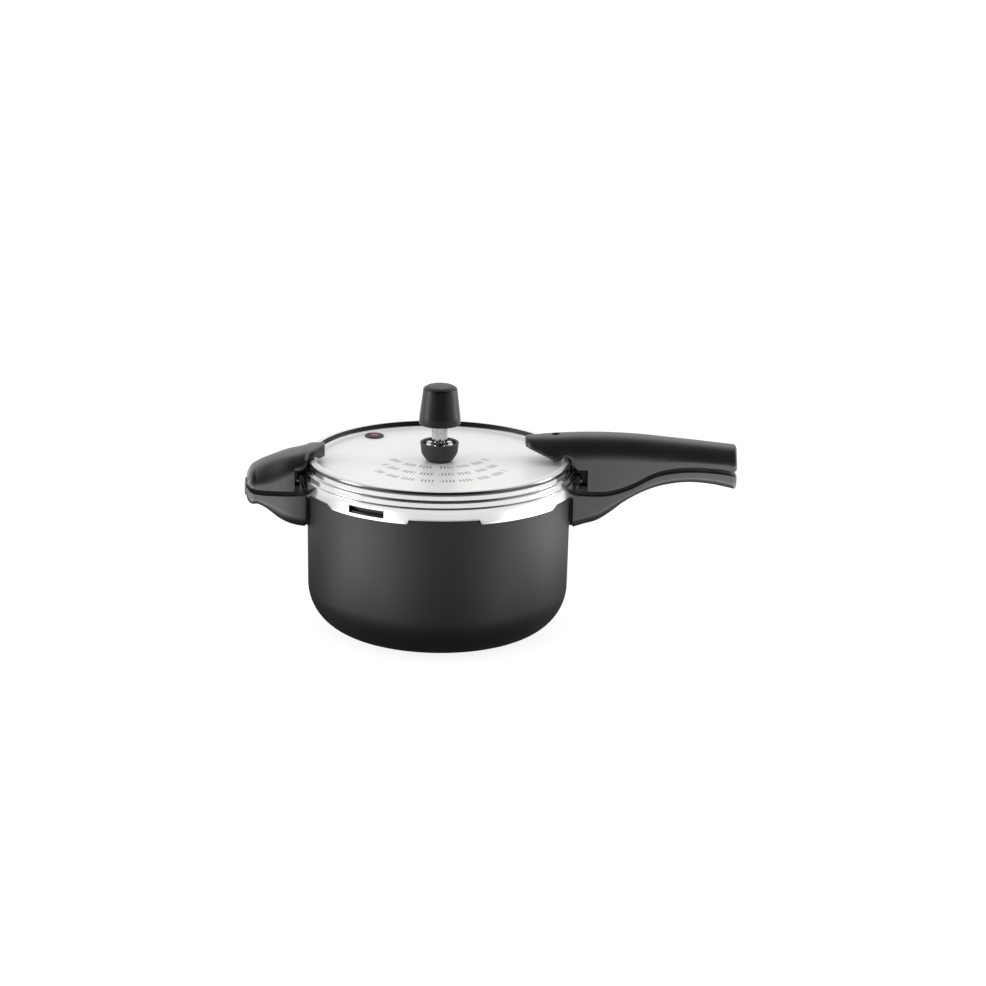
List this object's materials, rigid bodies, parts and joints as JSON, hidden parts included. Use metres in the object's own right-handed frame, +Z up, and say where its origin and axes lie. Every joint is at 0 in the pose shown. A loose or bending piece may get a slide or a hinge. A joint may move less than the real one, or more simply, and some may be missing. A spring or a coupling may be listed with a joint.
{
  "type": "stovetop pressure cooker",
  "caption": "Stovetop pressure cooker with a rounded dark pot, a bright bayonet lid, long and helper handles in matching halves, a weighted steam valve and a pressure indicator.",
  "frame": {"origin": "centre of the flat underside of the pot, on the pot's axis", "axes": "+Z up along the pot's axis, +X towards the end of the long handle"},
  "size_m": [0.4075, 0.2286, 0.2065],
  "materials": {
    "pot_coating": "aluminium with a satin charcoal coating",
    "lid_aluminium": "polished, satin deck",
    "handle_moulding": "matte black heat-resistant moulding",
    "bracket_steel": "black coated steel",
    "rivet_aluminium": "satin",
    "fastener_steel": "zinc plated",
    "gasket_silicone": "smooth blue silicone",
    "seal_rubber": "black rubber",
    "vent_chrome": "bright chrome",
    "cup_moulding": "fine-textured black moulding",
    "weight_cap_moulding": "semi-gloss black moulding",
    "core_brass": "turned brass",
    "pin_red": "red moulding"
  },
  "bodies": {
    "pot": {"pot_body": "pot_coating", "long_pot_bracket": "bracket_steel", "long_pot_rivets": "rivet_aluminium", "long_handle_lower": "handle_moulding", "long_lower_screw": "fastener_steel", "helper_pot_bracket": "bracket_steel", "helper_pot_rivets": "rivet_aluminium", "helper_handle_lower": "handle_moulding", "helper_lower_screw": "fastener_steel"},
    "lid": {"lid_shell": "lid_aluminium", "gasket": "gasket_silicone", "long_lid_bracket": "bracket_steel", "long_lid_rivets": "rivet_aluminium", "long_handle_upper": "handle_moulding", "long_upper_screw": "fastener_steel", "helper_lid_bracket": "bracket_steel", "helper_lid_rivets": "rivet_aluminium", "helper_handle_upper": "handle_moulding", "helper_upper_screw": "fastener_steel", "nose_spacer": "rivet_aluminium", "nose_screw": "fastener_steel", "nose_washer": "seal_rubber", "nose_nut": "fastener_steel", "vent_tube": "vent_chrome", "vent_seal": "seal_rubber", "vent_nut": "fastener_steel", "vent_cup": "cup_moulding", "vent_ring": "vent_chrome", "indicator_grommet": "seal_rubber"},
    "valve_needle": {"weight_needle": "fastener_steel"},
    "weight": {"weight_cap": "weight_cap_moulding", "weight_core": "core_brass", "weight_sleeve": "vent_chrome"},
    "indicator": {"indicator_pin": "pin_red"}
  },
  "joints": [
    {"name": "lid_turn", "type": "hinge", "parent": "pot", "child": "lid", "pos_m": [0, 0, 0.142], "axis": [0, 0, 1], "range_deg": [0, 30]},
    {"name": "weight_lift", "type": "slide", "parent": "lid", "child": "valve_needle", "axis": [0, 0, 1], "range_m": [0, 0.006]},
    {"name": "weight_spin", "type": "hinge", "parent": "valve_needle", "child": "weight", "pos_m": [0, 0, 0.175], "axis": [0, 0, 1], "continuous": true},
    {"name": "indicator_rise", "type": "slide", "parent": "lid", "child": "indicator", "axis": [0, 0, 1], "range_m": [0, 0.004]}
  ]
}
